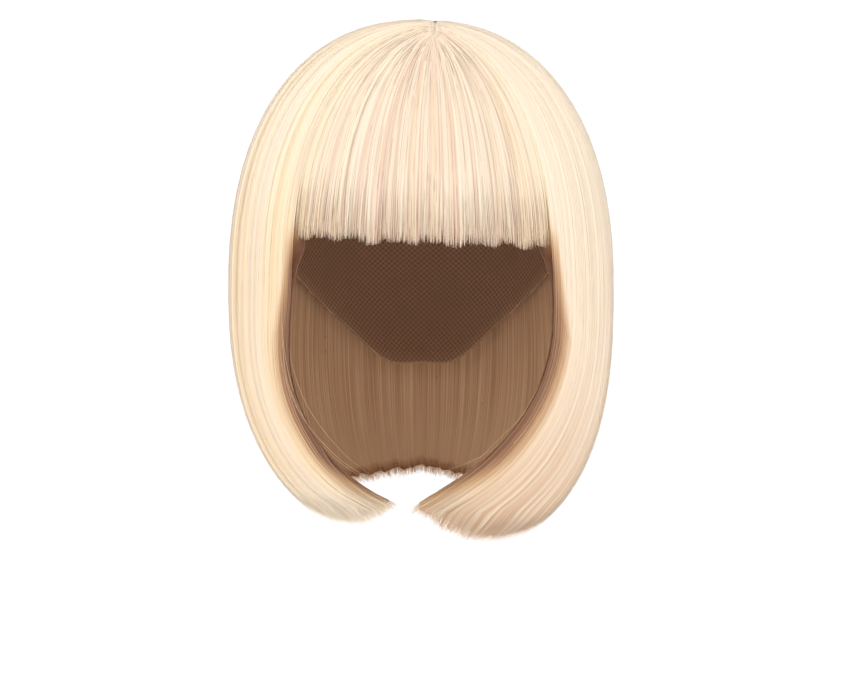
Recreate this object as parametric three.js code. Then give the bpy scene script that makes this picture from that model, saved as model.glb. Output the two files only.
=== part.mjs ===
// A bob wig with a straight fringe, in the form it has when worn. Millimetres, +Z up, the face looks along -Y.
// Left and right are the wearer's, so left is +X. The origin is the crown of the cap's inside, where the top of the
// head touches it. Azimuths are in degrees round the head: 0 at the face, 90 at the left ear, 180 at the nape.
import * as THREE from "three";

// The head that the cap fits.
const headHalfWidth = 76;
const headHalfLength = 95;
const headCrown = 88; // from the crown down to the level where the head is widest
const headBase = 105; // from that level down to where its curve would close
const headSquareness = 2.3;

// Walls, and the gaps between the pieces.
const capWall = 1.5;
const seatGap = 1.2; // between the cap and the hair sewn on it
const panelGap = 0.7; // between two panels of hair side by side
const stripGap = 0.8; // round the parting strip
const crownWall = 6.3; // hair at the crown
const browWall = 5.3; // hair at the brow
const sideWall = 17.3; // hair over the ears
const backWall = 17.3; // hair at the back of the head
const tipWall = 2.6; // a panel's wall at its tips
const edgeWall = 2.8; // a side panel's wall along its front edge
const thinnestWall = 1.2;

// Lengths of hair, measured straight down from the crown.
const hairDrop = 248.5;
const fringeDrop = 105;

// The parting, a slot in the hair along the top of the head, with the strip that shows in it.
const partingOffset = 6; // towards the wearer's left
const partingFront = 56; // its front end is this far before the crown
const partingBack = 30; // and its back end this far behind it
const partingHalfWidth = 2.2;
const partingDepth = 2.6; // from the hair beside the parting down to the strip

// Locks, which show as ridges with a groove between each two.
const columnsPerLock = 4; // columns of the mesh over each lock
const lockGroove = 2; // depth of a groove
const lockPoint = 4; // the middle of a lock hangs this far below the grooves at its sides
const lockRagged = 3; // the shortest lock ends this far above the longest
const fringeLocks = 14;
const fringeGroove = 1.3;
const fringePoint = 4;
const fringeRagged = 4;

// The hair's form round the head: the level where it stands out furthest, as a share of hairDrop.
const DOME = [
  { azimuth: 0, fullest: 0.503, squareness: 2.8 },
  { azimuth: 45, fullest: 0.503, squareness: 2.45 },
  { azimuth: 90, fullest: 0.503, squareness: 2.3 },
  { azimuth: 135, fullest: 0.47, squareness: 2.3 },
  { azimuth: 180, fullest: 0.44, squareness: 2.3 },
];

// The skirt below that level, by the share of the turn from the front edge of the side hair to the middle of the
// back. Each hem, and the depth at which the skirt's inward curve would close, is a share of hairDrop.
const SKIRT = {
  right: [
    { turn: 0, hem: 0.921, depth: 0.511, roundness: 2.3 },
    { turn: 0.06, hem: 0.95, depth: 0.511, roundness: 2.3 },
    { turn: 0.15, hem: 0.969, depth: 0.511, roundness: 2.3 },
    { turn: 0.35, hem: 0.957, depth: 0.511, roundness: 2.3 },
    { turn: 0.65, hem: 0.93, depth: 0.54, roundness: 2.3 },
    { turn: 1, hem: 0.902, depth: 0.586, roundness: 2.2 },
  ],
  left: [
    { turn: 0, hem: 0.925, depth: 0.535, roundness: 2.6 },
    { turn: 0.06, hem: 0.97, depth: 0.535, roundness: 2.6 },
    { turn: 0.15, hem: 1, depth: 0.535, roundness: 2.6 },
    { turn: 0.35, hem: 0.985, depth: 0.535, roundness: 2.6 },
    { turn: 0.65, hem: 0.94, depth: 0.55, roundness: 2.4 },
    { turn: 1, hem: 0.902, depth: 0.586, roundness: 2.2 },
  ],
};

// How far round from the face each side's front edge lies, by its level as a share of hairDrop. Below 0 it has
// crossed the middle of the face.
const FRONT_EDGE = [
  { level: 0.42, right: 40.6, left: 41.5 },
  { level: 0.5, right: 40.8, left: 42 },
  { level: 0.58, right: 42.2, left: 42 },
  { level: 0.65, right: 42.8, left: 39.8 },
  { level: 0.72, right: 41.4, left: 34.8 },
  { level: 0.78, right: 37.8, left: 28 },
  { level: 0.84, right: 32, left: 18.5 },
  { level: 0.89, right: 22, left: 6 },
  { level: 0.925, right: 9, left: -4 },
];
const sweepReach = 0.5; // share of the turn over which strands follow the sweep of the front edge

// Where the fringe ends from its right end to its left, as shares of fringeDrop.
const FRINGE_HEM = [
  { across: 0, hem: 0.95 },
  { across: 0.5, hem: 0.98 },
  { across: 1, hem: 1 },
];

// The cap's rim from the forehead by the temple, the ear tab and the notch behind the ear to the nape, as shares of
// headCrown.
const CAP_RIM = [
  { azimuth: 0, drop: 0.57 },
  { azimuth: 20, drop: 0.59 },
  { azimuth: 50, drop: 0.86 },
  { azimuth: 80, drop: 1.36 },
  { azimuth: 108, drop: 1.24 },
  { azimuth: 140, drop: 1.58 },
  { azimuth: 162, drop: 1.84 },
  { azimuth: 180, drop: 1.86 },
];

// The locks, repeated round the wig: width as a share of the mean, how much shallower than the others it stands and
// how raggedly it ends, from 0 for the longest lock to 1 for the shortest.
const LOCKS = [
  { width: 1.2, flat: 0.1, ragged: 0.1 },
  { width: 0.8, flat: 0.45, ragged: 0.7 },
  { width: 1.05, flat: 0, ragged: 0.3 },
  { width: 0.75, flat: 0.5, ragged: 1 },
  { width: 1.3, flat: 0.15, ragged: 0 },
  { width: 0.9, flat: 0.3, ragged: 0.55 },
  { width: 1.15, flat: 0, ragged: 0.25 },
  { width: 0.85, flat: 0.4, ragged: 0.85 },
];

// The panels of hair behind the fringe. The way round the wig runs from 0 at the left front edge through 1 at the
// middle of the back to 2 at the right front edge. Locks are counted so that each front edge is a lock's middle.
const sideReach = 0.45;
const PANELS = [
  { name: "hair_left", from: 0, to: sideReach, firstLock: 0.5, lastLock: 9, rows: 16 },
  { name: "hair_back", from: sideReach, to: 2 - sideReach, firstLock: 0, lastLock: 16, rows: 12 },
  { name: "hair_right", from: 2 - sideReach, to: 2, firstLock: 0, lastLock: 8.5, rows: 16 },
];

const quarterTurn = Math.PI / 2;
const { clamp, degToRad, lerp, radToDeg, smoothstep } = THREE.MathUtils;

// The value of a table's column at a key, on a smooth curve through its rows.
function readTable(rows, key, column, at) {
  let i = 0;
  while (i < rows.length - 2 && at > rows[i + 1][key]) i += 1;
  const slope = (k) => {
    const before = rows[Math.max(k - 1, 0)];
    const after = rows[Math.min(k + 1, rows.length - 1)];
    return (after[column] - before[column]) / (after[key] - before[key]);
  };
  const span = rows[i + 1][key] - rows[i][key];
  const t = clamp((at - rows[i][key]) / span, 0, 1);
  const fromLow = (2 * t ** 3 - 3 * t ** 2 + 1) * rows[i][column] + (t ** 3 - 2 * t ** 2 + t) * span * slope(i);
  const fromHigh = (3 * t ** 2 - 2 * t ** 3) * rows[i + 1][column] + (t ** 3 - t ** 2) * span * slope(i + 1);
  return fromLow + fromHigh;
}

// The outer form of the hair: a dome down to its fullest level, and a skirt that curves in below it.
const form = {
  top: capWall + seatGap + crownWall,
  side: headHalfWidth + capWall + seatGap + sideWall,
  front: headHalfLength + capWall + seatGap + browWall,
  back: headHalfLength + capWall + seatGap + backWall,
};
const fullestDrop = (azimuth) => hairDrop * readTable(DOME, "azimuth", "fullest", Math.abs(azimuth));

// A point of the form's outline in plan, or of the same outline shrunk to a share.
function outline(azimuth, share = 1) {
  const turn = degToRad(azimuth);
  const length = Math.cos(turn) > 0 ? form.front : form.back;
  return new THREE.Vector2(share * form.side * Math.sin(turn), -share * length * Math.cos(turn));
}

// The dome's height over a point of its plan.
function domeHeight(plan) {
  const lengthwise = -plan.y / (plan.y < 0 ? form.front : form.back);
  const crosswise = Math.abs(plan.x) / form.side;
  const share = Math.min(Math.hypot(crosswise, lengthwise), 1);
  const azimuth = radToDeg(Math.atan2(crosswise, lengthwise));
  const power = readTable(DOME, "azimuth", "squareness", azimuth);
  const fullest = fullestDrop(azimuth);
  return (form.top + fullest) * (1 - share ** power) ** (1 / power) - fullest;
}

// A point of the parting's outline in plan, or of a smaller outline that much inside it.
function partingOutline(azimuth, inset = 0) {
  const turn = degToRad(azimuth);
  const halfLength = (partingFront + partingBack) / 2 - inset;
  const middle = (partingBack - partingFront) / 2;
  const x = partingOffset + (partingHalfWidth - inset) * Math.sin(turn);
  return new THREE.Vector2(x, middle - halfLength * Math.cos(turn));
}

// A point of the form at a share along a strand: 0 at the parting, 1 at the fullest level, 2 where the skirt closes.
function formPoint(azimuth, along, skirt) {
  if (along <= 1) {
    const plan = partingOutline(azimuth).lerp(outline(azimuth), Math.sin(along * quarterTurn));
    return new THREE.Vector3(plan.x, plan.y, domeHeight(plan));
  }
  const turned = Math.min(along - 1, 1) * quarterTurn;
  const power = 2 / skirt.roundness;
  const plan = outline(azimuth, Math.cos(turned) ** power);
  return new THREE.Vector3(plan.x, plan.y, -fullestDrop(azimuth) - skirt.depth * Math.sin(turned) ** power);
}

// The point straight inwards from another, towards the middle of the head, where it meets the head's form grown by
// a standoff.
const headMiddle = new THREE.Vector3(0, 0, -headCrown);
function seatPoint(point, standoff) {
  const arm = point.clone().sub(headMiddle);
  const height = (arm.z > 0 ? headCrown : headBase) + standoff;
  const crosswise = Math.hypot(arm.x / (headHalfWidth + standoff), arm.y / (headHalfLength + standoff));
  const share = crosswise ** headSquareness + (Math.abs(arm.z) / height) ** headSquareness;
  return arm.divideScalar(share ** (1 / headSquareness)).add(headMiddle);
}

// A point sunk inwards by a depth.
function sink(point, depth) {
  const inwards = headMiddle.clone().sub(point).setLength(depth);
  return point.clone().add(inwards);
}

// The room for hair under a point of the form.
function roomUnder(point) {
  return point.distanceTo(headMiddle) - seatPoint(point, capWall + seatGap).distanceTo(headMiddle);
}

// How far along a strand it comes down to a drop below the crown.
function alongAtDrop(pointAt, drop) {
  let low = 0;
  let high = 2;
  for (let step = 0; step < 30; step += 1) {
    const middle = (low + high) / 2;
    if (-pointAt(middle).z < drop) low = middle;
    else high = middle;
  }
  return low;
}

// A strand of the hair behind the fringe, by its way round the wig. Its point is a function of the share along it.
function hairStrand(way) {
  const side = way <= 1 ? "left" : "right";
  const turn = way <= 1 ? way : 2 - way;
  const skirt = {
    depth: hairDrop * readTable(SKIRT[side], "turn", "depth", turn),
    roundness: readTable(SKIRT[side], "turn", "roundness", turn),
  };
  const root = FRONT_EDGE[0][side];
  const still = root + (180 - root) * turn;
  const following = Math.max(1 - turn / sweepReach, 0) ** 2;
  return {
    turn,
    hem: hairDrop * readTable(SKIRT[side], "turn", "hem", turn),
    pointAt: (along, shift = 0) => {
      const level = -formPoint(still, along, skirt).z / hairDrop;
      const azimuth = still + following * (readTable(FRONT_EDGE, "level", side, level) - root);
      return formPoint((side === "left" ? azimuth : -azimuth) + shift, along, skirt);
    },
  };
}

// A strand of the fringe, by the share across it from its right end to its left. It ends above the fullest level.
function fringeStrand(across) {
  const azimuth = lerp(-FRONT_EDGE[0].right, FRONT_EDGE[0].left, across);
  return {
    hem: Math.min(fringeDrop * readTable(FRINGE_HEM, "across", "hem", across), fullestDrop(azimuth)),
    pointAt: (along, shift = 0) => formPoint(azimuth + shift, along, null),
  };
}

// The wall of the hair behind the fringe: all the room down to the cap, thinning towards the tips and, below the
// fringe, towards the front edges.
function hairWall(point, strand) {
  const level = -point.z / hairDrop;
  const hanging = lerp(sideWall, tipWall, smoothstep(level, 0.5, strand.hem / hairDrop));
  const belowFringe = smoothstep(level, 0.36, 0.5);
  const nearEdge = 1 - smoothstep(strand.turn, 0, 0.14);
  return lerp(hanging, Math.min(edgeWall, hanging), belowFringe * nearEdge);
}

// A closed wall between two surfaces, each a function of the share across it and the share down it.
function closedWall(outer, inner, columns, rows) {
  const positions = [];
  const faces = [];
  [outer, inner].forEach((surface) => {
    for (let i = 0; i <= columns; i += 1) {
      for (let j = 0; j <= rows; j += 1) positions.push(...surface(i / columns, j / rows).toArray());
    }
  });
  const out = (i, j) => i * (rows + 1) + j;
  const back = (i, j) => (columns + 1) * (rows + 1) + out(i, j);
  const quad = (a, b, c, d) => faces.push(a, b, c, a, c, d);
  for (let i = 0; i < columns; i += 1) {
    for (let j = 0; j < rows; j += 1) {
      quad(out(i, j), out(i, j + 1), out(i + 1, j + 1), out(i + 1, j));
      quad(back(i, j), back(i + 1, j), back(i + 1, j + 1), back(i, j + 1));
    }
    quad(out(i, 0), out(i + 1, 0), back(i + 1, 0), back(i, 0));
    quad(out(i, rows), back(i, rows), back(i + 1, rows), out(i + 1, rows));
  }
  for (let j = 0; j < rows; j += 1) {
    quad(out(0, j), back(0, j), back(0, j + 1), out(0, j + 1));
    quad(out(columns, j), out(columns, j + 1), back(columns, j + 1), back(columns, j));
  }
  const geometry = new THREE.BufferGeometry();
  geometry.setAttribute("position", new THREE.Float32BufferAttribute(positions, 3));
  geometry.setIndex(faces);
  geometry.computeVertexNormals();
  return geometry;
}

// How much width the locks take up, counted in mean locks, from the first lock of the table to a place that is
// counted in locks.
function lockWidth(place) {
  let width = 0;
  for (let k = 0; k < place; k += 1) width += LOCKS[k % LOCKS.length].width * Math.min(place - k, 1);
  return width;
}

// A panel of hair in locks. Its strands are a function of the share across it, and its wall one of a point and its
// strand.
function lockPanel(strandOf, wallAt, locks) {
  const columns = Math.round((locks.last - locks.first) * columnsPerLock);
  const start = lockWidth(locks.first);
  const columnAt = (across) => {
    const place = lerp(locks.first, locks.last, across);
    const strand = strandOf((lockWidth(place) - start) / (lockWidth(locks.last) - start));
    const ridge = Math.sqrt(Math.abs(Math.sin(Math.PI * place)));
    const { flat, ragged } = LOCKS[Math.floor(place) % LOCKS.length];
    const drop = strand.hem - lerp(locks.point, ragged * locks.ragged, ridge);
    const end = alongAtDrop(strand.pointAt, drop);
    const column = Math.round(across * columns);
    const sideways = (column === 0) - (column === columns);
    return { strand, ridge: ridge * (1 - flat), end, clear: (sideways * panelGap) / 2 };
  };
  const find = (across, down) => {
    const { strand, ridge, end, clear } = columnAt(across);
    const along = end * down;
    const perDegree = strand.pointAt(along, 0.5).distanceTo(strand.pointAt(along, -0.5));
    const point = strand.pointAt(along, clear / perDegree);
    const inner = Math.min(wallAt(point, strand), roomUnder(point));
    const groove = (1 - ridge) * locks.groove * smoothstep(down, 0, 0.3);
    return { point, inner, outer: Math.max(Math.min(groove, inner - thinnestWall), 0) };
  };
  const outer = (across, down) => {
    const found = find(across, down);
    return sink(found.point, found.outer);
  };
  const inner = (across, down) => {
    const found = find(across, down);
    return sink(found.point, found.inner);
  };
  return closedWall(outer, inner, columns, locks.rows);
}

// A point of the head's form grown by a standoff, at a share of the way from the crown to the cap's rim.
function capPoint(azimuth, share, standoff) {
  const rim = headCrown * (1 - readTable(CAP_RIM, "azimuth", "drop", Math.abs(azimuth)));
  const rimHeight = Math.sign(rim) * (Math.abs(rim) / (rim > 0 ? headCrown : headBase)) ** (headSquareness / 2);
  const tilt = share * Math.acos(rimHeight);
  const level = (tilt < quarterTurn ? headCrown : headBase) + standoff;
  const reach = Math.sin(tilt) ** (2 / headSquareness);
  const turn = degToRad(azimuth);
  return new THREE.Vector3(
    (headHalfWidth + standoff) * reach * Math.sin(turn),
    -(headHalfLength + standoff) * reach * Math.cos(turn),
    level * Math.sign(Math.cos(tilt)) * Math.abs(Math.cos(tilt)) ** (2 / headSquareness) - headCrown,
  );
}

// The cap, from a sphere whose upper half becomes its outside and whose lower half its inside.
function capShell() {
  const rows = 9;
  const shell = new THREE.SphereGeometry(1, 36, 2 * rows + 1);
  const places = shell.attributes.position;
  for (let k = 0; k < places.count; k += 1) {
    const azimuth = -180 + 360 * shell.attributes.uv.getX(k);
    const row = Math.round((1 - shell.attributes.uv.getY(k)) * (2 * rows + 1));
    const share = Math.min(row, 2 * rows + 1 - row) / rows;
    const point = capPoint(azimuth, share, row <= rows ? capWall : 0);
    places.setXYZ(k, point.x, point.y, point.z);
  }
  shell.computeVertexNormals();
  return shell;
}

// The strip that shows at the parting, from the cap up to a little under the hair.
function partingStrip() {
  const base = (across, down) => {
    const azimuth = lerp(14, 166, down);
    const plan = partingOutline(azimuth, stripGap).lerp(partingOutline(-azimuth, stripGap), across);
    return new THREE.Vector3(plan.x, plan.y, domeHeight(plan));
  };
  const outer = (across, down) => sink(base(across, down), partingDepth);
  const inner = (across, down) => seatPoint(base(across, down), capWall + seatGap / 2);
  return closedWall(outer, inner, 2, 12);
}

function addPiece(group, name, geometry, look) {
  const mesh = new THREE.Mesh(geometry, new THREE.MeshStandardMaterial(look));
  mesh.name = name;
  group.add(mesh);
}

const hairLook = { color: "#f0dcb6", roughness: 0.5 };
const fringeLook = { color: "#edd6b2", roughness: 0.5 };
const capLook = { color: "#8a6f55", roughness: 0.9 };
const stripLook = { color: "#d9b79c", roughness: 0.8 };

const wig = new THREE.Group();
addPiece(wig, "cap", capShell(), capLook);
addPiece(wig, "parting_strip", partingStrip(), stripLook);
const fringe = {
  first: 0,
  last: fringeLocks,
  rows: 9,
  groove: fringeGroove,
  point: fringePoint,
  ragged: fringeRagged,
};
addPiece(wig, "fringe", lockPanel(fringeStrand, () => browWall, fringe), fringeLook);
PANELS.forEach((panel) => {
  const strandOf = (across) => hairStrand(lerp(panel.from, panel.to, across));
  const locks = {
    first: panel.firstLock,
    last: panel.lastLock,
    rows: panel.rows,
    groove: lockGroove,
    point: lockPoint,
    ragged: lockRagged,
  };
  addPiece(wig, panel.name, lockPanel(strandOf, hairWall, locks), hairLook);
});
export default wig;
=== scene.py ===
# A bob wig with a straight fringe: combed hair over a net cap, with a short parting.
# Metres, +Z up, the face looks along -Y, and left and right are the wearer's.
# Lengths of hair run straight down from the crown.
import math

import bpy
import numpy as np
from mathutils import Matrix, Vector


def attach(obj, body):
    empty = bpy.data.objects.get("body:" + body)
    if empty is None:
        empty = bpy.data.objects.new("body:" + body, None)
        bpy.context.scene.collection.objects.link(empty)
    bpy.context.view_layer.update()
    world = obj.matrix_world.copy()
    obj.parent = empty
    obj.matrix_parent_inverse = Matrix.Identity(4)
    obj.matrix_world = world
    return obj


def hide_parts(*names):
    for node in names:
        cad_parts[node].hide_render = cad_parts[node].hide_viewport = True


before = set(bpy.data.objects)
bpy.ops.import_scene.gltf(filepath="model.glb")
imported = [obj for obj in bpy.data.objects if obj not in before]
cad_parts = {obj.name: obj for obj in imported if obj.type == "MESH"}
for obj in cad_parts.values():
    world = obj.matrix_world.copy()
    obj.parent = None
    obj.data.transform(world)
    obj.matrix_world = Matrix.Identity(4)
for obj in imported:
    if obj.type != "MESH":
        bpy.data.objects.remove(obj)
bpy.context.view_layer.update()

# The head that the cap fits, and the walls over it, as in the frame.
HEAD_HALF_WIDTH = 0.076
HEAD_HALF_LENGTH = 0.095
HEAD_CROWN = 0.088
HEAD_BASE = 0.105
HEAD_SQUARENESS = 2.3
CAP_WALL = 0.0015
SEAT_GAP = 0.0012
CROWN_WALL = 0.0063
BROW_WALL = 0.0053
SIDE_WALL = 0.0173
BACK_WALL = 0.0173
TIP_WALL = 0.0026
EDGE_WALL = 0.0028

HAIR_DROP = 0.2485
FRINGE_DROP = 0.105
PARTING_OFFSET = 0.006
PARTING_FRONT = 0.056
PARTING_BACK = 0.030
PARTING_HALF_WIDTH = 0.0022
LOCK_POINT = 0.004
LOCK_RAGGED = 0.003

FORM_TOP = CAP_WALL + SEAT_GAP + CROWN_WALL
FORM_SIDE = HEAD_HALF_WIDTH + CAP_WALL + SEAT_GAP + SIDE_WALL
FORM_FRONT = HEAD_HALF_LENGTH + CAP_WALL + SEAT_GAP + BROW_WALL
FORM_BACK = HEAD_HALF_LENGTH + CAP_WALL + SEAT_GAP + BACK_WALL
HEAD_MIDDLE = np.array([0, 0, -HEAD_CROWN])

DOME = [
    {"azimuth": 0, "fullest": 0.503, "squareness": 2.8},
    {"azimuth": 45, "fullest": 0.503, "squareness": 2.45},
    {"azimuth": 90, "fullest": 0.503, "squareness": 2.3},
    {"azimuth": 135, "fullest": 0.47, "squareness": 2.3},
    {"azimuth": 180, "fullest": 0.44, "squareness": 2.3},
]
SKIRT = {
    "right": [
        {"turn": 0, "hem": 0.921, "depth": 0.511, "roundness": 2.3},
        {"turn": 0.06, "hem": 0.95, "depth": 0.511, "roundness": 2.3},
        {"turn": 0.15, "hem": 0.969, "depth": 0.511, "roundness": 2.3},
        {"turn": 0.35, "hem": 0.957, "depth": 0.511, "roundness": 2.3},
        {"turn": 0.65, "hem": 0.93, "depth": 0.54, "roundness": 2.3},
        {"turn": 1, "hem": 0.902, "depth": 0.586, "roundness": 2.2},
    ],
    "left": [
        {"turn": 0, "hem": 0.925, "depth": 0.535, "roundness": 2.6},
        {"turn": 0.06, "hem": 0.97, "depth": 0.535, "roundness": 2.6},
        {"turn": 0.15, "hem": 1, "depth": 0.535, "roundness": 2.6},
        {"turn": 0.35, "hem": 0.985, "depth": 0.535, "roundness": 2.6},
        {"turn": 0.65, "hem": 0.94, "depth": 0.55, "roundness": 2.4},
        {"turn": 1, "hem": 0.902, "depth": 0.586, "roundness": 2.2},
    ],
}
FRONT_EDGE = [
    {"level": 0.42, "right": 40.6, "left": 41.5},
    {"level": 0.5, "right": 40.8, "left": 42},
    {"level": 0.58, "right": 42.2, "left": 42},
    {"level": 0.65, "right": 42.8, "left": 39.8},
    {"level": 0.72, "right": 41.4, "left": 34.8},
    {"level": 0.78, "right": 37.8, "left": 28},
    {"level": 0.84, "right": 32, "left": 18.5},
    {"level": 0.89, "right": 22, "left": 6},
    {"level": 0.925, "right": 9, "left": -4},
]
SWEEP_REACH = 0.5
FRINGE_HEM = [
    {"across": 0, "hem": 0.95},
    {"across": 0.5, "hem": 0.98},
    {"across": 1, "hem": 1},
]
CAP_RIM = [
    {"azimuth": 0, "drop": 0.57},
    {"azimuth": 20, "drop": 0.59},
    {"azimuth": 50, "drop": 0.86},
    {"azimuth": 80, "drop": 1.36},
    {"azimuth": 108, "drop": 1.24},
    {"azimuth": 140, "drop": 1.58},
    {"azimuth": 162, "drop": 1.84},
    {"azimuth": 180, "drop": 1.86},
]
LOCK_WIDTHS = [1.2, 0.8, 1.05, 0.75, 1.3, 0.9, 1.15, 0.85]
LOCK_ENDS = [0.1, 0.7, 0.3, 1, 0, 0.55, 0.25, 0.85]

# The way round the wig runs from 0 at the left front edge through 1 at the middle of the back
# to 2 at the right front edge, and on across the fringe to 3, which is the left front edge again.
PANELS = {
    "hair_left": {"from": 0, "to": 0.45, "first_lock": 0.5, "last_lock": 9, "columns": 120, "rows": 60,
                  "groove": 0.0001, "short": 0.003, "evenness": 1.5, "blunt": 0.3,
                  "contrast": 0.12, "ashy": 0.01, "strands": 2400, "samples": 39},
    "hair_back": {"from": 0.45, "to": 1.55, "first_lock": 0, "last_lock": 16, "columns": 200, "rows": 44,
                  "groove": 0.0002, "short": 0.003, "evenness": 1.5, "blunt": 0.2,
                  "contrast": 0.12, "ashy": 0.01, "strands": 2900, "samples": 31},
    "hair_right": {"from": 1.55, "to": 2, "first_lock": 0, "last_lock": 8.5, "columns": 120, "rows": 60,
                   "groove": 0.0001, "short": 0.003, "evenness": 1.5, "blunt": 0.3,
                   "contrast": 0.12, "ashy": 0.01, "strands": 2400, "samples": 39},
    "fringe": {"from": 2, "to": 3, "first_lock": 0, "last_lock": 14, "columns": 160, "rows": 32,
               "groove": 0.0003, "short": 0.0105, "evenness": 1.1, "blunt": 0.8,
               "contrast": 0.22, "ashy": 0.09, "strands": 3800, "samples": 20},
}

PARTING_REACH = 0.1  # metres inwards from the parting's edge for each 1 along a strand below 0
SIDE_TURN_LENGTH = 0.24  # metres round the wig for each 1 of the way behind the fringe
FRINGE_TURN_LENGTH = 0.15  # and for the 1 that the fringe takes up
SHADE_WIDTH = {"left": 0.0160, "right": 0.0145}  # of the shaded band along each front edge
TIP_SWEEP = 8  # degrees that loose tips at the sides go on turning towards the chin, past the form's sweep
MASS_DEPTH = 0.0008  # of the combed mass under the outer form, which leaves room for the loose strands
STRAND_MARGIN = 0.0004  # that loose strands keep clear of their panel's edges, in metres round the wig
ROOT_REACH = 0.006  # how much further in over the parting the strands start, in shares along a strand
OPEN_PARTING_REACH = 0.003  # how much of that is left out where the parting shows
OPEN_PARTING = (-0.045, -0.015)  # from where the parting begins to show to where it shows in full, along Y
ROOT_DIP = 0.0003  # that strands are pressed down at the parting, and as much again where it shows
TIP_STEP = 0.02  # that a strand's samples stay above its end, which keeps them apart there
TIP_THROUGH = 0.16  # the share of a strand above its end where the tips spread through the wall
INSIDE_MARGIN = 0.0003  # that loose strands stay outside the wall's inner face
SPARE = 1e-4  # the step for slopes that are measured across two near points


def smoothstep(x, low, high):
    t = np.clip((x - low) / (high - low), 0, 1)
    return t * t * (3 - 2 * t)


def read_table(rows, key, column, at):
    """The values of a table's column at an array of keys, on a smooth curve through its rows."""
    keys = np.array([row[key] for row in rows], float)
    values = np.array([row[column] for row in rows], float)
    slopes = np.empty(len(keys))
    slopes[1:-1] = (values[2:] - values[:-2]) / (keys[2:] - keys[:-2])
    slopes[0] = (values[1] - values[0]) / (keys[1] - keys[0])
    slopes[-1] = (values[-1] - values[-2]) / (keys[-1] - keys[-2])
    i = np.clip(np.searchsorted(keys, at) - 1, 0, len(keys) - 2)
    span = keys[i + 1] - keys[i]
    t = np.clip((at - keys[i]) / span, 0, 1)
    from_low = (2 * t**3 - 3 * t**2 + 1) * values[i] + (t**3 - 2 * t**2 + t) * span * slopes[i]
    from_high = (3 * t**2 - 2 * t**3) * values[i + 1] + (t**3 - t**2) * span * slopes[i + 1]
    return from_low + from_high


# The form of the hair

def fullest_drop(azimuth):
    return HAIR_DROP * read_table(DOME, "azimuth", "fullest", np.abs(azimuth))


def outline(azimuth, share):
    turn = np.radians(azimuth)
    length = np.where(np.cos(turn) > 0, FORM_FRONT, FORM_BACK)
    return share * FORM_SIDE * np.sin(turn), -share * length * np.cos(turn)


def parting_outline(azimuth, inset=0.0):
    turn = np.radians(azimuth)
    half_length = (PARTING_FRONT + PARTING_BACK) / 2 - inset
    middle = (PARTING_BACK - PARTING_FRONT) / 2
    return PARTING_OFFSET + (PARTING_HALF_WIDTH - inset) * np.sin(turn), middle - half_length * np.cos(turn)


def dome_height(x, y):
    lengthwise = -y / np.where(y < 0, FORM_FRONT, FORM_BACK)
    crosswise = np.abs(x) / FORM_SIDE
    share = np.minimum(np.hypot(crosswise, lengthwise), 1)
    azimuth = np.degrees(np.arctan2(crosswise, lengthwise))
    power = read_table(DOME, "azimuth", "squareness", azimuth)
    fullest = fullest_drop(azimuth)
    return (FORM_TOP + fullest) * (1 - share**power) ** (1 / power) - fullest


def form_point(azimuth, along, depth, roundness):
    """Points of the outer form. Along is 0 at the parting's edge, 1 at the fullest level and 2 where the
    skirt closes, and below 0 it reaches in over the parting."""
    up = np.sin(np.clip(along, 0, 1) * math.pi / 2)
    rim_x, rim_y = outline(azimuth, 1)
    root_x, root_y = parting_outline(azimuth, -np.minimum(along, 0) * PARTING_REACH)
    x = root_x + (rim_x - root_x) * up
    y = root_y + (rim_y - root_y) * up
    turned = np.clip(along - 1, 0, 1) * math.pi / 2
    power = 2 / roundness
    low_x, low_y = outline(azimuth, np.cos(turned) ** power)
    low_z = -fullest_drop(azimuth) - depth * np.sin(turned) ** power
    on_dome = along <= 1
    return np.stack([np.where(on_dome, x, low_x), np.where(on_dome, y, low_y),
                     np.where(on_dome, dome_height(x, y), low_z)], -1)


def skirt_value(way, column):
    left = read_table(SKIRT["left"], "turn", column, np.clip(way, 0, 1))
    right = read_table(SKIRT["right"], "turn", column, np.clip(2 - way, 0, 1))
    return np.where(way <= 1, left, right)


def hem_drop(way):
    fringe = FRINGE_DROP * read_table(FRINGE_HEM, "across", "hem", np.clip(way - 2, 0, 1))
    return np.where(way > 2, fringe, HAIR_DROP * skirt_value(way, "hem"))


def wig_point(way, along, shift=0.0):
    """Points of the outer form by the way round and the place along, turned by a shift in degrees."""
    way, along = np.broadcast_arrays(np.asarray(way, float), np.asarray(along, float))
    depth = HAIR_DROP * skirt_value(way, "depth")
    roundness = skirt_value(way, "roundness")
    is_left = way <= 1
    turn = np.clip(np.where(is_left, way, 2 - way), -0.05, 1)
    root = np.where(is_left, FRONT_EDGE[0]["left"], FRONT_EDGE[0]["right"])
    still = root + (180 - root) * turn
    level = -form_point(still, along, depth, roundness)[..., 2] / HAIR_DROP
    edge = np.where(is_left, read_table(FRONT_EDGE, "level", "left", level),
                    read_table(FRONT_EDGE, "level", "right", level))
    following = np.maximum(1 - turn / SWEEP_REACH, 0) ** 2
    azimuth = np.where(is_left, 1, -1) * (still + following * (edge - root))
    across = -FRONT_EDGE[0]["right"] + (FRONT_EDGE[0]["left"] + FRONT_EDGE[0]["right"]) * (way - 2)
    return form_point(np.where(way > 2, across, azimuth) + shift, along, depth, roundness)


def along_at_drop(way, drop):
    low = np.zeros_like(way)
    high = np.full_like(way, 2.0)
    for _ in range(24):
        middle = (low + high) / 2
        above = -wig_point(way, middle)[..., 2] < drop
        low = np.where(above, middle, low)
        high = np.where(above, high, middle)
    return low


def outward(way, along):
    """Unit normals of the outer form."""
    down = wig_point(way, along + SPARE) - wig_point(way, along - SPARE)
    across = wig_point(way + SPARE, along) - wig_point(way - SPARE, along)
    normal = np.cross(down, across)
    return normal / np.maximum(np.linalg.norm(normal, axis=-1, keepdims=True), 1e-12)


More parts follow.
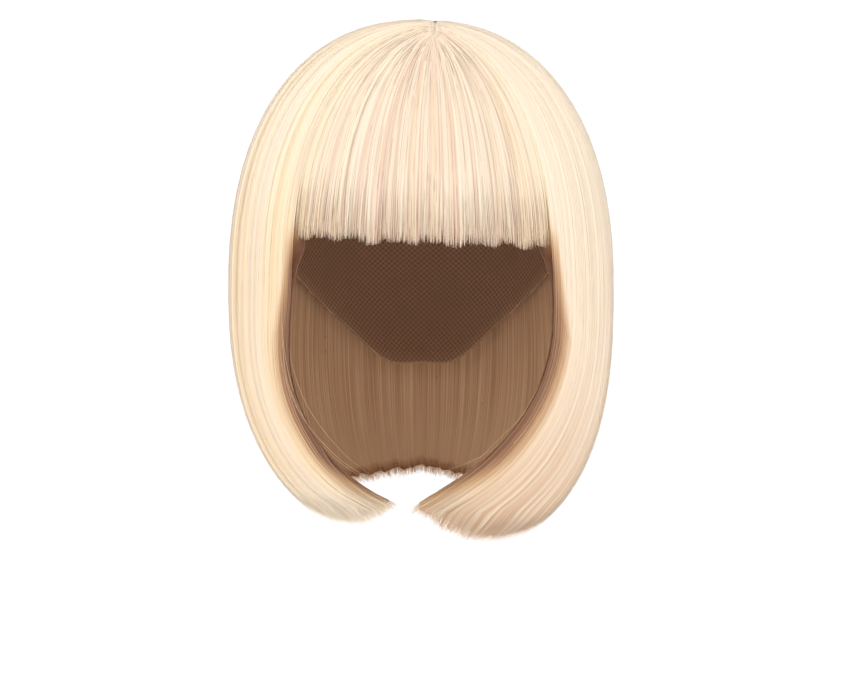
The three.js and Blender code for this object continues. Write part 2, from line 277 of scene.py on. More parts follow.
def seat_point(points, standoff):
    """The points inwards from others, towards the middle of the head, on its form grown by a standoff."""
    arm = points - HEAD_MIDDLE
    height = np.where(arm[..., 2] > 0, HEAD_CROWN, HEAD_BASE) + standoff
    sideways = arm[..., 0] / (HEAD_HALF_WIDTH + standoff)
    lengthwise = arm[..., 1] / (HEAD_HALF_LENGTH + standoff)
    crosswise = np.hypot(sideways, lengthwise)
    share = crosswise**HEAD_SQUARENESS + (np.abs(arm[..., 2]) / height) ** HEAD_SQUARENESS
    return arm / (share ** (1 / HEAD_SQUARENESS))[..., None] + HEAD_MIDDLE


def sink(points, depth):
    inward = HEAD_MIDDLE - points
    return points + inward / np.linalg.norm(inward, axis=-1, keepdims=True) * depth[..., None]


def room_under(points):
    seat = seat_point(points, CAP_WALL + SEAT_GAP)
    return np.linalg.norm(points - HEAD_MIDDLE, axis=-1) - np.linalg.norm(seat - HEAD_MIDDLE, axis=-1)


def hair_wall(points, way):
    """How thick the hair is: all the room down to the cap, thinning to the tips and to the front edges."""
    level = -points[..., 2] / HAIR_DROP
    hem = hem_drop(way) / HAIR_DROP
    hanging = SIDE_WALL + (TIP_WALL - SIDE_WALL) * smoothstep(level, 0.5, hem)
    near_edge = 1 - smoothstep(np.minimum(way, 2 - way), 0, 0.14)
    at_edge = smoothstep(level, 0.36, 0.5) * near_edge
    wall = hanging + (np.minimum(EDGE_WALL, hanging) - hanging) * at_edge
    wall = np.where(way > 2, BROW_WALL, wall)
    return np.minimum(wall, room_under(points))


def shadowed(way, points):
    """How much painted shade the hair's colour takes where it turns in beside the face, from 0 outside to 1
    along the front edges.
    """
    level = -points[..., 2] / HAIR_DROP
    from_edge = np.minimum(way, 2 - way) * SIDE_TURN_LENGTH
    full_width = np.where(way <= 1, SHADE_WIDTH["left"], SHADE_WIDTH["right"])
    width = full_width * (0.35 + 0.65 * smoothstep(level, 0.44, 0.62))
    band = smoothstep(level, 0.34, 0.46) * (1 - smoothstep(level, 0.80, 0.95))
    return np.where(way > 2, 0, band * np.clip(1 - from_edge / width, 0, 1))


def tip_sweep(way, along):
    """The degrees that loose tips turn on towards the chin, which grow down the sides near the hem."""
    level = -wig_point(way, along)[..., 2] / HAIR_DROP
    turn = np.minimum(way, 2 - way)
    following = smoothstep(turn, 0, 0.08) * np.maximum(1 - turn / SWEEP_REACH, 0) ** 2
    return np.where(way <= 1, -TIP_SWEEP, TIP_SWEEP) * following * smoothstep(level, 0.88, 1)


# Locks and loose variation

def lock_width(place):
    whole = np.floor(place).astype(int)
    widths = np.array([LOCK_WIDTHS[k % len(LOCK_WIDTHS)] for k in range(64)])
    sums = np.concatenate([[0], np.cumsum(widths)])
    return sums[whole] + (place - whole) * widths[whole]


def lock_place(panel, way):
    """The place of a strand counted in locks, from the way round the wig."""
    fine = np.linspace(panel["first_lock"], panel["last_lock"], 1024)
    width = lock_width(fine)
    share = (width - width[0]) / (width[-1] - width[0])
    return np.interp((way - panel["from"]) / (panel["to"] - panel["from"]), share, fine)


def wave(rng, count, samples, knots):
    """Smooth random curves, one row each, that stay about within -1 to 1."""
    values = rng.uniform(-1, 1, (count, knots))
    at = np.linspace(0, knots - 1, samples)
    i = np.minimum(at.astype(int), knots - 2)
    t = at - i
    t = t * t * (3 - 2 * t)
    return values[:, i] * (1 - t) + values[:, i + 1] * t


def blend_rows(rows, at):
    """Rows read at fractional places from 0 to 1 down the stack of them."""
    place = at * (len(rows) - 1)
    i = np.minimum(place.astype(int), len(rows) - 2)
    t = (place - i)[:, None]
    t = t * t * (3 - 2 * t)
    return rows[i] * (1 - t) + rows[i + 1] * t


# Meshes

def make_mesh(name, points, faces, strand_map, looks, materials, slots=None, normals=None):
    """A smooth mesh piece. strand_map is each vertex's place across and along the hair, looks its values."""
    mesh = bpy.data.meshes.new(name)
    mesh.from_pydata(points.reshape(-1, 3).tolist(), [], faces.tolist())
    corners = np.empty(len(mesh.loops), np.int32)
    mesh.loops.foreach_get("vertex_index", corners)
    layer = mesh.uv_layers.new(name="strands")
    layer.uv.foreach_set("vector", strand_map.reshape(-1, 2)[corners].astype(np.float32).ravel())
    for look, values in looks.items():
        shade = mesh.attributes.new(look, "FLOAT", "POINT")
        shade.data.foreach_set("value", values.reshape(-1).astype(np.float32))
    for material in materials:
        mesh.materials.append(material)
    if slots is not None:
        mesh.polygons.foreach_set("material_index", slots.astype(np.int32))
    mesh.polygons.foreach_set("use_smooth", np.ones(len(mesh.polygons), bool))
    mesh.update()
    if normals is not None:
        mesh.normals_split_custom_set_from_vertices(normals.reshape(-1, 3).tolist())
    piece = bpy.data.objects.new(name, mesh)
    bpy.context.scene.collection.objects.link(piece)
    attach(piece, "root")
    return piece


def grid_faces(columns, rows, first=0, flip=False):
    """Quads of a grid whose vertices run down each of its columns."""
    corner = first + np.arange(columns)[:, None] * (rows + 1) + np.arange(rows)[None, :]
    faces = np.stack([corner, corner + 1, corner + rows + 2, corner + rows + 1], -1).reshape(-1, 4)
    return faces[:, ::-1] if flip else faces


def bridge_faces(outer, inner):
    """Quads between two rows of vertices."""
    return np.stack([outer[:-1], outer[1:], inner[1:], inner[:-1]], -1)


def comb_relief(rng, ways, along, panel):
    """The depth of the combed grooves under the outer form, over a grid of columns and rows."""
    metres = (ways - panel["from"]) * SIDE_TURN_LENGTH
    depth = np.zeros((len(ways), len(along)))
    for pitch, size in ((0.006, 0.00025), (0.0022, 0.00012)):
        knots = max(int(metres[-1] / pitch), 4)
        depth += size * blend_rows(wave(rng, 6, len(ways), knots), np.linspace(0, 1, len(along))).T
    return depth


def hair_body(name, panel, materials, seed):
    """The combed mass of a panel: a closed wall under the strands, with its inside in another material, a
    brown that paints the shade inside the wig.
    """
    rng = np.random.default_rng(seed)
    columns, rows = panel["columns"], panel["rows"]
    way = np.linspace(panel["from"], panel["to"], columns + 1)
    margin = (panel["to"] - panel["from"]) * 1e-3
    inside_way = np.clip(way, panel["from"] + margin, panel["to"] - margin)
    place = lock_place(panel, way)
    ridge = np.sqrt(np.abs(np.sin(math.pi * place)))
    ragged = np.array(LOCK_ENDS)[np.floor(place).astype(int) % len(LOCK_ENDS)]
    jagged = 0.5 + 0.5 * wave(rng, 1, columns + 1, columns // 2)[0]
    drop = hem_drop(inside_way) - panel["blunt"] * (LOCK_POINT * (1 - ridge) + LOCK_RAGGED * ragged * ridge)
    drop -= panel["short"] * (0.6 + 0.5 * jagged)
    end = along_at_drop(inside_way, drop)
    down = np.concatenate([[0, 0.01], np.linspace(0.025, 1, rows - 1)])
    along = end[:, None] * down[None, :]
    base = wig_point(inside_way[:, None], along)
    wall = hair_wall(base, inside_way[:, None])
    grown = smoothstep(down, 0, 0.35)[None, :]
    combed = comb_relief(rng, way, down, panel) * grown
    relief = (1 - ridge)[:, None] * panel["groove"] * grown + MASS_DEPTH + combed
    dip = 0.0006 * (1 - smoothstep(along, 0, 0.02)) + 0.0012 * smoothstep(down, 0.94, 1)[None, :]
    outer_depth = np.clip(relief + dip, 0, np.maximum(wall - 0.0009, 0.0002))
    outer = sink(base, outer_depth)
    inner = sink(base, wall)
    count = (columns + 1) * (rows + 1)
    index = np.arange(count).reshape(columns + 1, rows + 1)
    faces = np.concatenate([
        grid_faces(columns, rows),
        grid_faces(columns, rows, count, flip=True),
        bridge_faces(index[::-1, 0], index[::-1, 0] + count),
        bridge_faces(index[:, -1], index[:, -1] + count),
        bridge_faces(index[0, :], index[0, :] + count),
        bridge_faces(index[-1, ::-1], index[-1, ::-1] + count),
    ])
    # The inside and the hem take the inside material, whose brown is painted shade.
    slots = np.zeros(len(faces))
    slots[columns * rows:2 * columns * rows] = 1
    slots[2 * columns * rows + columns:2 * columns * rows + 2 * columns] = 1
    across = np.broadcast_to(way[:, None] / 3, along.shape)
    strand_map = np.stack([across, along / 2], -1)
    looks = {
        # Painted shade: the mass's value drops in the grooves between locks, which darkens them towards gold.
        "tone_and_groove_shade": np.full(along.shape, 0.45) - 0.2 * (1 - ridge)[:, None] * grown,
        "shadow": shadowed(way[:, None], base),
        "ash": np.zeros(along.shape),
    }
    looks = {look: np.concatenate([values, values]) for look, values in looks.items()}
    # The faces that close each panel's first and last columns get full painted shade at their inner side.
    looks["shadow"][[columns + 1, -1]] = 1
    return make_mesh(name, np.concatenate([outer, inner]), faces, np.concatenate([strand_map, strand_map]),
                     looks, materials, slots)


def cap_points(azimuth, share, standoff):
    """Points of the head's form grown by a standoff, at shares of the way from the crown to the cap's rim."""
    rim = HEAD_CROWN * (1 - read_table(CAP_RIM, "azimuth", "drop", np.abs(azimuth)))
    rim_share = np.abs(rim) / np.where(rim > 0, HEAD_CROWN, HEAD_BASE)
    rim_height = np.sign(rim) * rim_share ** (HEAD_SQUARENESS / 2)
    tilt = share * np.arccos(rim_height)
    level = np.where(tilt < math.pi / 2, HEAD_CROWN, HEAD_BASE) + standoff
    reach = np.sin(tilt) ** (2 / HEAD_SQUARENESS)
    turn = np.radians(azimuth)
    height = level * np.sign(np.cos(tilt)) * np.abs(np.cos(tilt)) ** (2 / HEAD_SQUARENESS) - HEAD_CROWN
    return np.stack([(HEAD_HALF_WIDTH + standoff) * reach * np.sin(turn),
                     -(HEAD_HALF_LENGTH + standoff) * reach * np.cos(turn), height], -1)


def cap_shell(name, material):
    """The cap as one closed skin, with a rounded rim between its outside and its inside."""
    columns, rows = 144, 30
    azimuth = np.linspace(-180, 180, columns + 1)[:, None]
    down = np.linspace(0, 1, rows + 1)
    share = np.concatenate([down, [1.004, 1.004], down[::-1]])[None, :]
    rim = [CAP_WALL * 0.75, CAP_WALL * 0.25]
    standoff = np.concatenate([np.full(rows + 1, CAP_WALL), rim, np.zeros(rows + 1)])
    points = cap_points(azimuth, share, standoff[None, :])
    faces = grid_faces(columns, 2 * rows + 3)
    places = np.stack(np.broadcast_arrays(azimuth / 360 + 0.5, share), -1)
    piece = make_mesh(name, points, faces, places, {}, [material])
    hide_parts("cap")


def ribbons(name, points, normals, lean, widths, strand_map, looks, materials):
    """Joined hairs. Each is a narrow ribbon along its row of points, lit as the form is, but with its
    normal leant a little to one side."""
    count, samples = points.shape[:2]
    side = np.cross(np.gradient(points, axis=1), normals)
    side /= np.maximum(np.linalg.norm(side, axis=-1, keepdims=True), 1e-12)
    half = side * widths[..., None] / 2
    vertices = np.stack([points - half, points + half], 2)
    corner = np.arange(count * samples).reshape(count, samples)[:, :-1] * 2
    faces = np.stack([corner, corner + 1, corner + 3, corner + 2], -1).reshape(-1, 4)
    lit = normals + side * lean[..., None]
    both = (count, samples, 2)
    looks = {look: np.broadcast_to(values[..., None], both) for look, values in looks.items()}
    places = np.broadcast_to(strand_map[:, :, None, :], (*both, 2))
    lighting = np.broadcast_to(lit[:, :, None, :], (*both, 3))
    return make_mesh(name, vertices, faces, places, looks, materials, normals=lighting)


def hair_strands(name, panel, layer, material, seed):
    """A layer of loose hairs that follow a panel of the form."""
    rng = np.random.default_rng(seed)
    count, samples = int(layer["count"] * panel["strands"]), panel["samples"]
    per_metre = 1 / (SIDE_TURN_LENGTH if panel["from"] < 2 else FRINGE_TURN_LENGTH)
    spread = (np.arange(count) + rng.random(count)) / count
    edge = STRAND_MARGIN * per_metre
    first, last = panel["from"] + edge, panel["to"] - edge
    way = first + (last - first) * spread
    place = lock_place(panel, way)
    ridge = np.sqrt(np.abs(np.sin(math.pi * place)))
    ragged = np.array(LOCK_ENDS)[np.floor(place).astype(int) % len(LOCK_ENDS)]
    drop = hem_drop(way) - panel["blunt"] * (LOCK_POINT * (1 - ridge) + LOCK_RAGGED * ragged * ridge)
    drop -= layer["ragged"] * panel["short"] * rng.random(count) ** panel["evenness"]
    end = along_at_drop(way, drop)
    hem = along_at_drop(way, hem_drop(way))
    down = np.concatenate([[0, 0.01, 0.025], 1 - 0.94 * np.linspace(1, 0, samples - 3) ** 1.3])[None, :]
    is_open = smoothstep(wig_point(way, 0)[:, 1], *OPEN_PARTING)[:, None]
    start = rng.uniform(*layer["start"], count)[:, None] - ROOT_REACH + OPEN_PARTING_REACH * is_open
    if layer["inside"]:
        along = start * end[:, None] + (1 - start) * end[:, None] * down
    else:
        along = start * (1 - smoothstep(down, 0, 0.1)) + hem[:, None] * down
        along = np.minimum(along, end[:, None] - TIP_STEP * (1 - down))
    shared = blend_rows(wave(rng, 36, samples, 4), spread) * layer["drift"]
    sway = (wave(rng, count, samples, 4) * layer["sway"] + shared) * per_metre * np.sqrt(down)
    ways = np.clip(way[:, None] + sway, first, last)
    over = layer["over"] * np.sign(spread - 0.5) * smoothstep(np.abs(spread - 0.5), 0.47, 0.5)
    shift = over[:, None] * smoothstep(down, 0.05, 0.4) + tip_sweep(ways, along)
    base = wig_point(ways, along, shift)
    normals = outward(ways, along)
    wall = hair_wall(base, ways)
    if layer["inside"]:
        points = sink(base, wall - 0.0006 * rng.random(count)[:, None])
        normals = -normals
    else:
        relief = (1 - ridge)[:, None] * panel["groove"] * smoothstep(down, 0, 0.35)
        height = rng.random(count)[:, None]
        lift = layer["lift"] * (height - 0.4)
        lift = lift + layer["fly"] * wave(rng, count, samples, 6) * down
        dip = (ROOT_DIP + ROOT_DIP * is_open) * (1 - smoothstep(along, -0.02, 0.006))
        through = (1 - height) * wall * smoothstep(along, end[:, None] - TIP_THROUGH, end[:, None])
        depth = relief + dip - lift * smoothstep(along, 0, 0.03) + through
        points = sink(base, np.minimum(depth, wall - INSIDE_MARGIN))
    lean = rng.normal(0, layer["lean"], (count, 1)) * np.ones((1, samples))
    taper = np.clip((1 - along / end[:, None]) / layer["taper"], 0, 1) ** 0.6
    widths = layer["width"] * rng.uniform(0.6, 1.4, count)[:, None] * np.maximum(taper, 0.15)
    looks = {
        "tone_and_groove_shade": np.clip(rng.normal(0.5, panel["contrast"], count), 0, 1)[:, None] * np.ones((1, samples)),
        "shadow": shadowed(ways, base),
        "ash": (rng.random(count) < panel["ashy"])[:, None] * (1 - 0.6 * smoothstep(along, 0.2, 0.5)),
    }
    strand_map = np.stack([ways / 3, along / 2], -1)
    piece = ribbons(name, points, normals, lean, widths, strand_map, looks, [material])


def stray_hairs(name, count, seed):
    """Fine hairs that have come away from the front edges beside the face, some of them across the chin."""
    rng = np.random.default_rng(seed)
    samples = 22
    is_left = rng.random(count) < 0.5
    from_edge = rng.uniform(0.0005, 0.018, count)
    way = np.where(is_left, from_edge, 2 - from_edge)
    first = along_at_drop(way, HAIR_DROP * rng.uniform(0.42, 0.8, count))
    last = along_at_drop(way, hem_drop(way) * rng.uniform(0.93, 1.0, count))
    down = np.linspace(0, 1, samples)[None, :]
    along = first[:, None] + (last - first)[:, None] * down
    bow = rng.uniform(0.5, 1, count) * 6 * rng.random(count) ** 2
    across = rng.uniform(5, 22, count) * (rng.random(count) < 0.4)
    turn = bow[:, None] * np.sin(math.pi * down) ** 1.4 + across[:, None] * down**3
    ways = way[:, None] * np.ones((1, samples))
    base = wig_point(ways, along, np.where(is_left, -1, 1)[:, None] * turn)
    normals = outward(ways, along)
    depth = rng.uniform(-0.0008, 0.0012, count)[:, None] + rng.uniform(0, 0.004, count)[:, None] * down**2
    points = sink(base, depth * np.ones((1, samples)))
    widths = rng.uniform(0.00012, 0.00022, count)[:, None] * np.maximum(1 - down**4, 0.3)
    looks = {
        "tone_and_groove_shade": np.full((count, samples), 0.5),
        # The strays carry a little painted shade all along their length.
        "shadow": np.full((count, samples), 0.35),
        "ash": np.zeros((count, samples)),
    }
    strand_map = np.stack([ways / 3, along / 2], -1)
    lean = np.zeros((count, samples))
    piece = ribbons(name, points, normals, lean, widths, strand_map, looks, [hair_fibre])


# Materials

class Socket:
    """A number that a material works out. Sums on it are nodes of the material."""

    def __init__(self, material, socket):
        self.material = material
        self.socket = socket

    def sum_with(self, operation, *values):
        return self.material.node("ShaderNodeMath", {"operation": operation}, *values)

    def __add__(self, other):
        return self.sum_with("ADD", self, other)

    __radd__ = __add__

    def __mul__(self, other):
        return self.sum_with("MULTIPLY", self, other)

    __rmul__ = __mul__

    def __sub__(self, other):
        return self.sum_with("SUBTRACT", self, other)

    def __rsub__(self, other):
        return self.sum_with("SUBTRACT", other, self)

    def __pow__(self, other):
        return self.sum_with("POWER", self, other)

    def between(self, low, high):
        """0 up to low and 1 from high, with a soft step between."""
        settings = {"interpolation_type": "SMOOTHSTEP"}
        return self.material.node("ShaderNodeMapRange", settings, self, low, high)


class Material:
    def __init__(self, name, **constants):
        self.made = bpy.data.materials.new(name)
        self.made.use_nodes = True
        self.nodes = self.made.node_tree.nodes
        self.links = self.made.node_tree.links
        self.shader = self.nodes["Principled BSDF"]
        for socket, value in constants.items():
            self.shader.inputs[socket.replace("_", " ")].default_value = value

    def node(self, kind, settings, *values, output=0, **named):
        """A node of a kind, with its settings set first and then the values or links of its sockets."""
        made = self.nodes.new(kind)
        for key, value in settings.items():
            setattr(made, key, value)
        for key, value in [*enumerate(values), *named.items()]:
            socket = made.inputs[key]
            if isinstance(value, Socket):
                self.links.new(value.socket, socket)
            else:
                socket.default_value = value
        return Socket(self, made.outputs[output])

    def strand_place(self):
        """The place across the hair and along it."""
        place = self.node("ShaderNodeUVMap", {"uv_map": "strands"})
        across = self.node("ShaderNodeSeparateXYZ", {}, place)
        return across, Socket(self, across.socket.node.outputs["Y"])

    def value_of(self, look):
        return self.node("ShaderNodeAttribute", {"attribute_name": look}, output="Fac")

    def streaks(self, across, along, fine, long, detail=1.0):
        """Noise drawn out along the hair, so many streaks across the whole wig and so many along it."""
        place = self.node("ShaderNodeCombineXYZ", {}, across * fine, along * long, 0.0)
        flat = {"noise_dimensions": "2D"}
        return self.node("ShaderNodeTexNoise", flat, Vector=place, Scale=1.0, Detail=detail)

    def mix(self, share, first, second):
        made = self.nodes.new("ShaderNodeMix")
        made.data_type = "RGBA"
        for key, value in ((0, share), (6, first), (7, second)):
            if isinstance(value, Socket):
                self.links.new(value.socket, made.inputs[key])
            elif key == 0:
                made.inputs[key].default_value = value
            else:
                made.inputs[key].default_value = (*value, 1)
        return Socket(self, made.outputs[2])

    def feed(self, socket, value):
        self.links.new(value.socket, self.shader.inputs[socket])

    def bump(self, height, strength, distance):
        bumped = self.node("ShaderNodeBump", {}, Height=height, Strength=strength, Distance=distance)
        self.feed("Normal", bumped)


def colour(red, green, blue):
    """A linear colour from the 0 to 255 values that a screen shows."""
    shares = [v / 255 for v in (red, green, blue)]
    return tuple(s / 12.92 if s <= 0.04045 else ((s + 0.055) / 1.055) ** 2.4 for s in shares)


CREAM = colour(246, 226, 200)
BUTTER = colour(247, 223, 182)
BEIGE_PINK = colour(237, 204, 184)
NEAR_WHITE = colour(250, 235, 214)
GOLD = colour(228, 196, 158)
# Below: the tips' tan, the front edges' golds and browns and the inside's browns are painted shade; the
# roots' ash is a real grey of some strands and painted shade in gaps too.
TIP_SHADE_TAN = colour(226, 190, 156)
ROOT_ASH_AND_GAP_SHADE = colour(168, 142, 118)
SHADE_GOLD = colour(200, 156, 114)
SHADE_BROWN = colour(124, 82, 60)
UNDER_SHADE_BROWN = colour(192, 148, 116)
UNDER_SHADE_GOLD = colour(230, 194, 154)


def hair_material(name, is_strand):
    fibre = Material(name, Roughness=0.5, Specular_IOR_Level=0.3)
    across, along = fibre.strand_place()
    tone_and_groove_shade = fibre.value_of("tone_and_groove_shade")
    broad = fibre.streaks(across, along, 60, 0.7)
    middling = fibre.streaks(across, along, 300, 1.0)
    fine = fibre.streaks(across, along, 1500, 2.0)
    in_fringe = across.between(0.66, 0.72) * (1 - across.between(0.94, 1.0))
    rosy = in_fringe * across.between(0.72, 0.79) * (1 - across.between(0.84, 0.95))
    lines = fibre.streaks(across, along, 240, 0.7) - 0.5
    root_gap_shade = fibre.streaks(across, along, 430, 6.0)
    root_gap_shade_zone = in_fringe * along.between(0.03, 0.09) * (1 - along.between(0.12, 0.27))
    leftward = 1 - across.between(0.18, 0.5)
    shade = fibre.mix(broad.between(0.38, 0.62) * (1 - 0.5 * in_fringe - 0.6 * leftward), CREAM, BUTTER)
    rightward = (1 - leftward) * (1 - in_fringe)
    # Painted light on the upper part of the wearer's right side.
    painted_light_high_up = 1 - along.between(0.25, 0.5)
    shade = fibre.mix(in_fringe * 0.25 + leftward * 0.4 + rightward * painted_light_high_up * 0.35, shade, NEAR_WHITE)
    shade = fibre.mix(middling.between(0.42, 0.7) * (0.06 + 0.4 * in_fringe + 0.5 * rosy), shade, BEIGE_PINK)
    shade = fibre.mix((1 - middling).between(0.5, 0.66) * (0.2 + 0.45 * in_fringe), shade, NEAR_WHITE)
    # Per strand this value is a random tone; on the mass it also paints shade into the grooves between locks.
    shade = fibre.mix(tone_and_groove_shade.between(0.5, 1.0) * (0.3 + 0.2 * in_fringe), shade, NEAR_WHITE)
    shade = fibre.mix((1 - tone_and_groove_shade).between(0.5, 1.0) * (0.3 + 0.2 * in_fringe), shade, GOLD)
    shade = fibre.mix((1 - (lines * lines).between(0.0, 0.0006)) * (0.16 + 0.24 * in_fringe), shade, ROOT_ASH_AND_GAP_SHADE)
    # Painted shade: dark gaps between clumps of hair near the fringe's roots.
    shade = fibre.mix(root_gap_shade.between(0.55, 0.68) * root_gap_shade_zone * 0.8, shade, ROOT_ASH_AND_GAP_SHADE)
    shade = fibre.mix(fibre.value_of("ash") * 0.6, shade, ROOT_ASH_AND_GAP_SHADE)
    # On the wearer's right side: painted shade below the fullest level, and painted light on the tips, which
    # face down.
    shade = fibre.mix(rightward * along.between(0.36, 0.5) * 0.3, shade, GOLD)
    shade = fibre.mix(rightward * along.between(0.7, 0.85) * 0.9, shade, NEAR_WHITE)
    # Painted shade on the wearer's left side: tan from mid height down, strongest at the tips, with gold
    # streaks.
    shade = fibre.mix(leftward * along.between(0.34, 0.55) * 0.18, shade, TIP_SHADE_TAN)
    tips = along.between(0.5, 0.8) * leftward * 0.75
    shade = fibre.mix(tips * (0.5 + 0.6 * middling.between(0.4, 0.6)), shade, TIP_SHADE_TAN)
    shade = fibre.mix(tips * (fine + middling - 1.0).between(0.02, 0.25) * 0.5, shade, SHADE_GOLD)
    # Painted shade along the front edges: gold, then gold-brown, then brown at the very edge, broken into
    # streaks.
    shadow = fibre.value_of("shadow")
    streaked = shadow + (fine - 0.5) * shadow * 1.2
    shade = fibre.mix(streaked.between(0.0, 0.35) * 0.8, shade, GOLD)
    shade = fibre.mix(streaked.between(0.12, 0.6), shade, SHADE_GOLD)
    shade = fibre.mix(streaked.between(0.4, 1.0), shade, SHADE_BROWN)
    fibre.feed("Base Color", shade)
    if not is_strand:
        fibre.bump(fine + middling, 0.2, 0.0003)
    return fibre.made


# The hair's inside: blonde hair painted brown and gold for the shade inside the wig.
def inside_material():
    fibre = Material("hair_inside", Roughness=0.6, Specular_IOR_Level=0.3)
    across, along = fibre.strand_place()
    tone_and_groove_shade = fibre.value_of("tone_and_groove_shade")
    fine = fibre.streaks(across, along, 1300, 4.0)
    broad = fibre.streaks(across, along, 150, 1.5)
    shade = fibre.mix(fine.between(0.35, 0.65), UNDER_SHADE_BROWN, UNDER_SHADE_GOLD)
    shade = fibre.mix(broad.between(0.45, 0.7) * 0.5, shade, UNDER_SHADE_BROWN)
    shade = fibre.mix(tone_and_groove_shade * 0.3, shade, UNDER_SHADE_GOLD)
    # Less painted shade towards the tips of the inside.
    shade = fibre.mix(along.between(0.62, 0.86) * 0.7, shade, TIP_SHADE_TAN)
    fibre.feed("Base Color", shade)
    fibre.bump(fine, 0.4, 0.0006)
    return fibre.made


def cap_material():
    """An elastic net: threads that cross on the slant, with small holes between them."""
    net = Material("cap_net", Roughness=0.85, Specular_IOR_Level=0.2)
    place = net.node("ShaderNodeTexCoord", {}, output="Object")
    x, y, z = (net.node("ShaderNodeSeparateXYZ", {}, place, output=axis) for axis in "XYZ")
    round_it = net.node("ShaderNodeMath", {"operation": "ARCTAN2"}, x, y) * 60
    up = z * 750
    threads = 0
    for lean in (round_it + up, round_it - up):
        wobble = net.node("ShaderNodeMath", {"operation": "PINGPONG"}, lean, 1.0)
        threads = threads + wobble.between(0.62, 0.9)
    threads = net.node("ShaderNodeMath", {"operation": "MINIMUM"}, threads, 1.0)
    cloud = net.node("ShaderNodeTexNoise", {}, Vector=place, Scale=30.0)
    shade = net.mix(threads, colour(150, 116, 92), colour(186, 150, 122))
    shade = net.mix(cloud.between(0.4, 0.7) * 0.4, shade, colour(158, 124, 98))
    net.feed("Base Color", shade)
    net.bump(threads, 0.4, 0.0003)
    return net.made


def skin_material():
    skin = Material("parting_skin", Roughness=0.7, Specular_IOR_Level=0.3)
    place = skin.node("ShaderNodeTexCoord", {}, output="Object")
    grain = skin.node("ShaderNodeTexNoise", {}, Vector=place, Scale=900.0, Detail=3.0)
    knots = skin.node("ShaderNodeTexVoronoi", {}, Vector=place, Scale=1100.0)
    shade = skin.mix(grain.between(0.35, 0.7), colour(206, 168, 142), colour(224, 192, 168))
    shade = skin.mix((1 - knots.between(0.1, 0.35)) * 0.7, shade, colour(150, 122, 98))
    skin.feed("Base Color", shade)
    skin.bump(grain, 0.3, 0.0003)
    return skin.made


hair_mass = hair_material("hair_mass", False)
hair_fibre = hair_material("hair_fibre", True)
hair_inside = inside_material()
cap_net = cap_material()
parting_skin = skin_material()

# Layers of loose hair over each panel
COVER = {"count": 1.0, "width": 0.00046, "lift": 0.0004, "fly": 0.0, "sway": 0.00005, "drift": 0.0007,
         "over": 1.0, "ragged": 1.0, "start": (-0.02, -0.013), "taper": 0.14, "lean": 0.05, "inside": False}
WISPS = {**COVER, "count": 0.04, "width": 0.00024, "lift": 0.0008, "fly": 0.0004, "sway": 0.0022,
         "ragged": 0.3, "taper": 0.5}
LINING = {**COVER, "count": 0.12, "width": 0.0012, "sway": 0.0012, "over": 0.0, "start": (0.45, 0.75),
          "inside": True}

for seed, (node, panel) in enumerate(PANELS.items()):
    body = hair_body(node + "_mass", panel, [hair_mass, hair_inside], seed)
    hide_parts(node)
    hair_strands(node + "_strands", panel, COVER, hair_fibre, 100 + seed)
    hair_strands(node + "_wisps", panel, WISPS, hair_fibre, 200 + seed)
    hair_strands(node + "_lining", panel, LINING, hair_inside, 300 + seed)
stray_hairs("stray_hairs", 14, 7)

cap_shell("cap_shell", cap_net)
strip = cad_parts["parting_strip"]
strip.data.materials.clear()
strip.data.materials.append(parting_skin)

# Floor, light and camera
METRES_PER_PIXEL = 0.0005
PHOTO_WIDTH = 852
AXIS_PIXEL = (421, 40)  # the photograph's pixel that the crown of the cap's inside lies at
PHOTO_MIDDLE = (426, 350)
CAMERA_DISTANCE = 1.7
CAMERA_ELEVATION = 2.5
FLOOR_DROP = 0.42


def stage_material():
    pale = Material("pale_paper", Roughness=0.9, Specular_IOR_Level=0.1)
    place = pale.node("ShaderNodeTexCoord", {}, output="Object")
    cloud = pale.node("ShaderNodeTexNoise", {}, Vector=place, Scale=3.0)
    pale.feed("Base Color", pale.mix(cloud, (0.95, 0.95, 0.95), (0.97, 0.97, 0.97)))
    return pale.made


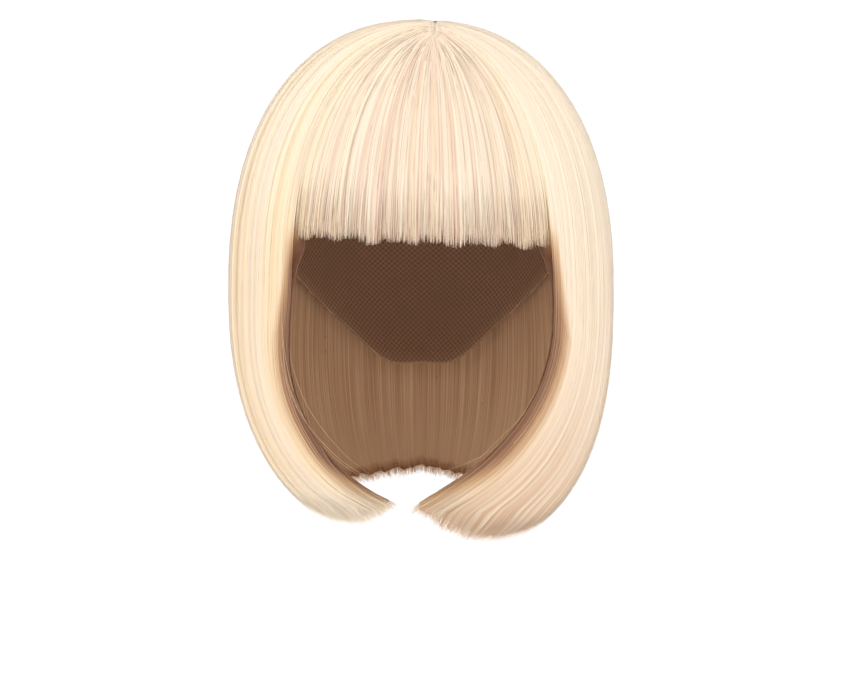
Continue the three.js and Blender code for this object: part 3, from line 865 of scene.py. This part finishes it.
def backdrop():
    """A pale floor that curves up into a wall behind."""
    profile = [(-5.0, 0.0), (2.2, 0.0)]
    for step in range(1, 13):
        angle = step / 12 * math.pi / 2
        profile.append((2.2 + 0.8 * math.sin(angle), 0.8 - 0.8 * math.cos(angle)))
    profile.append((3.0, 4.0))
    points = [(x, y, z - FLOOR_DROP) for y, z in profile for x in (-4.0, 4.0)]
    faces = [(2 * k, 2 * k + 1, 2 * k + 3, 2 * k + 2) for k in range(len(profile) - 1)]
    mesh = bpy.data.meshes.new("backdrop")
    mesh.from_pydata(points, [], faces)
    mesh.materials.append(stage_material())
    mesh.polygons.foreach_set("use_smooth", [True] * len(faces))
    paper = bpy.data.objects.new("backdrop", mesh)
    bpy.context.scene.collection.objects.link(paper)


def soft_light(name, place, size, power, target):
    light = bpy.data.lights.new(name, "AREA")
    light.shape = "DISK"
    light.size = size
    light.energy = power
    lamp = bpy.data.objects.new(name, light)
    lamp.location = place
    lamp.rotation_euler = (Vector(target) - Vector(place)).to_track_quat("-Z", "Y").to_euler()
    bpy.context.scene.collection.objects.link(lamp)


def camera():
    made = bpy.data.cameras.new("camera")
    made.sensor_width = 36
    made.lens = 36 * CAMERA_DISTANCE / (PHOTO_WIDTH * METRES_PER_PIXEL)
    made.clip_end = 20
    seen = bpy.data.objects.new("camera", made)
    target = Vector(((PHOTO_MIDDLE[0] - AXIS_PIXEL[0]) * METRES_PER_PIXEL, 0,
                     (AXIS_PIXEL[1] - PHOTO_MIDDLE[1]) * METRES_PER_PIXEL))
    lift = math.radians(CAMERA_ELEVATION)
    seen.location = target + CAMERA_DISTANCE * Vector((0, -math.cos(lift), math.sin(lift)))
    seen.rotation_euler = (math.pi / 2 - lift, 0, 0)
    bpy.context.scene.collection.objects.link(seen)
    bpy.context.scene.camera = seen


backdrop()
camera()
soft_light("key", (-0.9, -1.9, 0.7), 1.4, 3, (0, 0, -0.12))
soft_light("left_edge", (-1.5, 0.3, 0.2), 1.2, 4, (0, 0, -0.12))
soft_light("right_edge", (1.5, 0.3, 0.2), 1.2, 2.5, (0, 0, -0.12))
soft_light("fill", (1.3, -1.7, 0.2), 1.4, 2, (0, 0, -0.12))
soft_light("floor_glow", (0, 0.2, 1.5), 1.6, 5, (0, 0.9, -0.4))
world = bpy.data.worlds.new("studio")
world.use_nodes = True
world.node_tree.nodes["Background"].inputs["Color"].default_value = (1, 1, 1, 1)
world.node_tree.nodes["Background"].inputs["Strength"].default_value = 1.03
bpy.context.scene.world = world
bpy.context.scene.view_settings.view_transform = "Standard"
